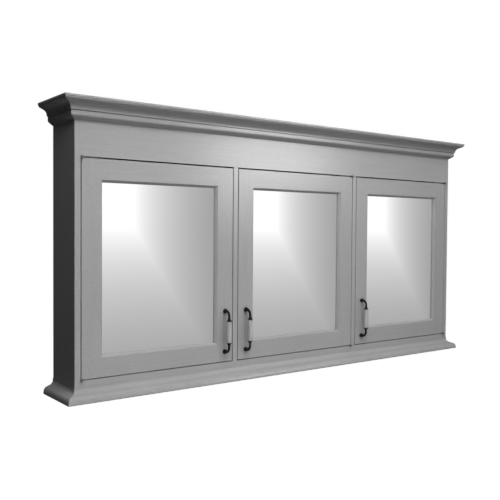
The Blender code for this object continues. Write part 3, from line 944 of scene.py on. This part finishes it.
def shelf_pin_profile():
    """A pin from its rounded end in the shelf's side to its end in the upright, with a flange."""
    full, thin, flange = (SHELF_PIN_RADIUS * share for share in (1, 0.8, 1.7))
    sunk = [(0.0001, -0.008), (thin, -0.008), (full, -0.007), (full, 0)]
    return sunk + [
        (flange, 0),
        (flange, 0.0012),
        (full, 0.0012),
        (full, 0.0085),
        (thin, 0.009),
        (0.0001, 0.009),
    ]


def add_shelf_pins(door, metal):
    """Four steel pins that carry one shelf, two in each side of its bay."""
    low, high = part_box(door + "_shelf")
    height = low.z - SHELF_PIN_RADIUS - CLEARANCE
    number = 0
    for side, edge in ((LEFT, low.x - SHELF_PIN_SINK), (RIGHT, high.x + SHELF_PIN_SINK)):
        for share in (0.2, 0.8):
            number += 1
            y = low.y + (high.y - low.y) * share
            turn = Matrix.Rotation(-side * math.pi / 2, 4, "Y")
            place = Matrix.Translation((edge - side * CLEARANCE, y, height)) @ turn
            mesh = turned(shelf_pin_profile(), "shelf_pin", SCREW_SIDES)
            add_piece(f"{door}_shelf_pin_{number}", mesh, metal, "carcass", (), place)


def add_wall_screws(metal):
    """Two screws through the hanging rail in each outer bay, with cup washers on the back panel."""
    rail_low, rail_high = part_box("hanging_rail")
    panel_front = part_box("back_panel")[0].y
    height = (rail_low.z + rail_high.z) / 2
    cup = [(0.0026, 0), (0.0075, 0), (0.0070, 0.0010), (0.0042, 0.0019), (0.0036, 0.0019), (0.0026, 0.0008)]
    for number, share in enumerate((-0.85, -0.45, 0.45, 0.85), 1):
        x = share * rail_high.x
        lie = Matrix.Rotation(math.pi / 2, 4, "X")
        place = Matrix.Translation((x, panel_front - CLEARANCE, height)) @ lie
        washer = loft([[(a, b, up) for a, b in circle(radius, 28)] for radius, up in cup], "cup", True)
        screw = pan_screw(0.0040, 0.0022, 0.0022, abs(panel_front) - 0.001)
        screw = moved(screw, Matrix.Translation((0, 0, 0.0012)))
        mesh = joined([washer, screw], "wall_screw")
        add_piece(f"wall_screw_{number}", mesh, metal, "carcass", (), place)


# Studio

def add_camera():
    data = bpy.data.cameras.new("camera")
    data.lens = CAMERA_LENS
    data.sensor_width = CAMERA_SENSOR
    camera = bpy.data.objects.new("camera", data)
    bpy.context.scene.collection.objects.link(camera)
    yaw, pitch, roll = (math.radians(a) for a in (-CAMERA_YAW, 90 + CAMERA_PITCH, CAMERA_ROLL))
    turn = Matrix.Rotation(yaw, 4, "Z") @ Matrix.Rotation(pitch, 4, "X") @ Matrix.Rotation(roll, 4, "Z")
    camera.matrix_world = Matrix.Translation(CAMERA_PLACE) @ turn
    bpy.context.scene.camera = camera


def link_room_gloss(tree, gloss):
    """The brightness of what surfaces reflect, by the direction that it comes from."""
    place = tree.nodes.new("ShaderNodeTexCoord")
    split = tree.nodes.new("ShaderNodeSeparateXYZ")
    tree.links.new(place.outputs["Generated"], split.inputs[0])
    ramps = {}
    for name, (axis, *values) in GLOSS_RAMPS.items():
        ramp = tree.nodes.new("ShaderNodeMapRange")
        ramp.interpolation_type = "SMOOTHSTEP"
        tree.links.new(split.outputs[axis], ramp.inputs["Value"])
        for key, value in zip(("From Min", "From Max", "To Min", "To Max"), values):
            ramp.inputs[key].default_value = value
        ramps[name] = ramp.outputs["Result"]
    strength = tree.nodes.new("ShaderNodeMath")
    strength.operation = "MULTIPLY"
    tree.links.new(ramps["behind"], strength.inputs[0])
    tree.links.new(ramps["left"], strength.inputs[1])
    tree.links.new(strength.outputs[0], gloss.inputs["Strength"])
    tree.links.new(ramps["height"], gloss.inputs["Color"])


def add_world():
    """White to the camera, dim to surfaces, and a soft grey gradient in reflections."""
    world = bpy.data.worlds.new("studio")
    world.use_nodes = True
    tree = world.node_tree
    tree.nodes.clear()
    shades = []
    for level in (AMBIENT, 1.0, 1.0):
        background = tree.nodes.new("ShaderNodeBackground")
        background.inputs["Color"].default_value = (*grey(level), 1)
        shades.append(background)
    ambient, gloss, white = shades
    link_room_gloss(tree, gloss)
    path = tree.nodes.new("ShaderNodeLightPath")
    shown = ambient
    for ray, shade in (("Is Glossy Ray", gloss), ("Is Camera Ray", white)):
        either = tree.nodes.new("ShaderNodeMixShader")
        tree.links.new(path.outputs[ray], either.inputs[0])
        tree.links.new(shown.outputs[0], either.inputs[1])
        tree.links.new(shade.outputs[0], either.inputs[2])
        shown = either
    output = tree.nodes.new("ShaderNodeOutputWorld")
    tree.links.new(shown.outputs[0], output.inputs["Surface"])
    bpy.context.scene.world = world


def add_light(name, place, size, power, target):
    """A round lamp with one size, or an oblong one with two, aimed at the target."""
    data = bpy.data.lights.new(name, "AREA")
    if isinstance(size, tuple):
        data.shape = "RECTANGLE"
        data.size, data.size_y = size
    else:
        data.shape = "DISK"
        data.size = size
    data.energy = power
    light = bpy.data.objects.new(name, data)
    bpy.context.scene.collection.objects.link(light)
    light.location = place
    light.rotation_euler = (target - Vector(place)).to_track_quat("-Z", "Y").to_euler()
    return light


def add_floor():
    """A pale floor, lit to near white, which lets a view from below through."""
    shape = bmesh.new()
    bmesh.ops.create_grid(shape, x_segments=1, y_segments=1, size=FLOOR_REACH)
    mesh = bpy.data.meshes.new("floor")
    shape.to_mesh(mesh)
    shape.free()
    floor = bpy.data.objects.new("floor", mesh)
    bpy.context.scene.collection.objects.link(floor)
    floor.location.z = FLOOR_HEIGHT
    material = bpy.data.materials.new("pale_floor")
    material.use_nodes = True
    tree = material.node_tree
    shader = tree.nodes["Principled BSDF"]
    shader.inputs["Base Color"].default_value = (*grey(FLOOR_TONE), 1)
    shader.inputs["Roughness"].default_value = 0.8
    shader.inputs["Emission Color"].default_value = (1, 1, 1, 1)
    shader.inputs["Emission Strength"].default_value = 1.0
    behind = tree.nodes.new("ShaderNodeNewGeometry")
    clear = tree.nodes.new("ShaderNodeBsdfTransparent")
    either = tree.nodes.new("ShaderNodeMixShader")
    tree.links.new(behind.outputs["Backfacing"], either.inputs[0])
    tree.links.new(shader.outputs[0], either.inputs[1])
    tree.links.new(clear.outputs[0], either.inputs[2])
    tree.links.new(either.outputs[0], tree.nodes["Material Output"].inputs["Surface"])
    mesh.materials.append(material)
    floor.visible_diffuse = False
    floor.visible_glossy = False


def calculate(tree, operation, one, other=0.0):
    item = tree.nodes.new("ShaderNodeMath")
    item.operation = operation
    for socket, value in zip(item.inputs, (one, other)):
        if isinstance(value, bpy.types.NodeSocket):
            tree.links.new(value, socket)
        else:
            socket.default_value = value
    return item.outputs[0]


def card_tone(tree, across, down):
    """Brightest at the upper left, falling off to the right and down."""
    fades = []
    for place, rate in ((across, CARD_FADE_ACROSS), (down, CARD_FADE_DOWN)):
        past = calculate(tree, "SUBTRACT", place, CARD_FADE_START)
        fades.append(calculate(tree, "MULTIPLY", past, rate))
    fade = calculate(tree, "MAXIMUM", calculate(tree, "MAXIMUM", *fades), 0.0)
    return calculate(tree, "DIVIDE", CARD_BRIGHTNESS, calculate(tree, "ADD", fade, 1.0))


def card_cover(tree, across, down):
    """Solid in the middle and clear at the rim."""
    solid = 1.0
    for place in (across, down):
        from_middle = calculate(tree, "ABSOLUTE", calculate(tree, "SUBTRACT", place, 0.5))
        edge = tree.nodes.new("ShaderNodeMapRange")
        edge.interpolation_type = "SMOOTHSTEP"
        inside = calculate(tree, "SUBTRACT", 0.5 + CARD_MARGIN, from_middle)
        tree.links.new(inside, edge.inputs["Value"])
        edge.inputs["From Max"].default_value = CARD_MARGIN
        solid = calculate(tree, "MULTIPLY", edge.outputs["Result"], solid)
    return solid


def card_material():
    """A lit panel that shades off as card_tone says, and fades out as card_cover says."""
    material = bpy.data.materials.new("light_card")
    material.use_nodes = True
    tree = material.node_tree
    tree.nodes.clear()
    uv = tree.nodes.new("ShaderNodeUVMap")
    uv.uv_map = "card"
    split = tree.nodes.new("ShaderNodeSeparateXYZ")
    tree.links.new(uv.outputs["UV"], split.inputs[0])
    places = split.outputs["X"], split.outputs["Y"]
    emission = tree.nodes.new("ShaderNodeEmission")
    tree.links.new(card_tone(tree, *places), emission.inputs["Strength"])
    clear = tree.nodes.new("ShaderNodeBsdfTransparent")
    either = tree.nodes.new("ShaderNodeMixShader")
    tree.links.new(card_cover(tree, *places), either.inputs[0])
    tree.links.new(clear.outputs[0], either.inputs[1])
    tree.links.new(emission.outputs[0], either.inputs[2])
    output = tree.nodes.new("ShaderNodeOutputMaterial")
    tree.links.new(either.outputs[0], output.inputs["Surface"])
    return material


def add_card(door, material):
    """A lit panel in front of the cabinet, just where the camera sees it in one mirror."""
    low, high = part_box(door + "_mirror")
    cover = STICKING_WIDTH - 0.0005
    reach = (low.y - CARD_PLANE) / (low.y - CAMERA_PLACE.y)

    def landing(across, down):
        x = low.x + cover + (high.x - low.x - 2 * cover) * across
        z = high.z - cover - (high.z - low.z - 2 * cover) * down
        return (x + (x - CAMERA_PLACE.x) * reach, CARD_PLANE, z + (z - CAMERA_PLACE.z) * reach)

    ends = (-CARD_MARGIN, 1 + CARD_MARGIN)
    corners = [(ends[0], ends[1]), (ends[1], ends[1]), (ends[1], ends[0]), (ends[0], ends[0])]
    mesh = bpy.data.meshes.new("light_card")
    mesh.from_pydata([landing(*corner) for corner in corners], [], [(0, 1, 2, 3)])
    layer = mesh.uv_layers.new(name="card")
    for item, corner in zip(layer.data, corners):
        item.uv = corner
    mesh.materials.append(material)
    card = bpy.data.objects.new(door + "_light_card", mesh)
    bpy.context.scene.collection.objects.link(card)
    card.visible_camera = False
    card.visible_diffuse = False
    card.visible_shadow = False
    card.visible_transmission = False


def add_studio():
    middle = (cad_box[0] + cad_box[1]) / 2
    add_camera()
    add_world()
    for name, (place, size, power) in LAMPS.items():
        lamp = add_light(name, place, size, power, middle)
        lamp.visible_glossy = False
    add_light("window", WINDOW_PLACE, WINDOW_SIZE, WINDOW_POWER, middle)
    add_floor()
    material = card_material()
    for door in DOORS:
        add_card(door, material)
    bpy.context.scene.view_settings.view_transform = "Standard"


def main():
    add_studio()
    paint = {axis: painted_wood(axis) for axis in "xyz"}
    board, silver, edge = plain_board(), mirror_silver(), glass_edge_and_shade_rim()
    iron, glaze, plastic = cast_iron(), ceramic(), moulded_plastic()
    metals = {"hinge": brushed_steel(), "screw": screw_steel()}
    add_boards(paint, board)
    add_partitions(paint)
    add_face_rails(paint)
    add_mouldings("crown", crown_profile, paint)
    add_mouldings("base", base_profile, paint)
    add_wall_screws(metals["screw"])
    for door in DOORS:
        add_frame_members(door, paint)
        add_pane(door, silver, edge, board)
        add_hinges(door, metals)
        add_handle(door, iron, glaze, metals["screw"])
        add_turn_buttons(door, metals["screw"])
        add_catch(door, plastic, metals["screw"])
        add_shelf_pins(door, metals["screw"])


main()
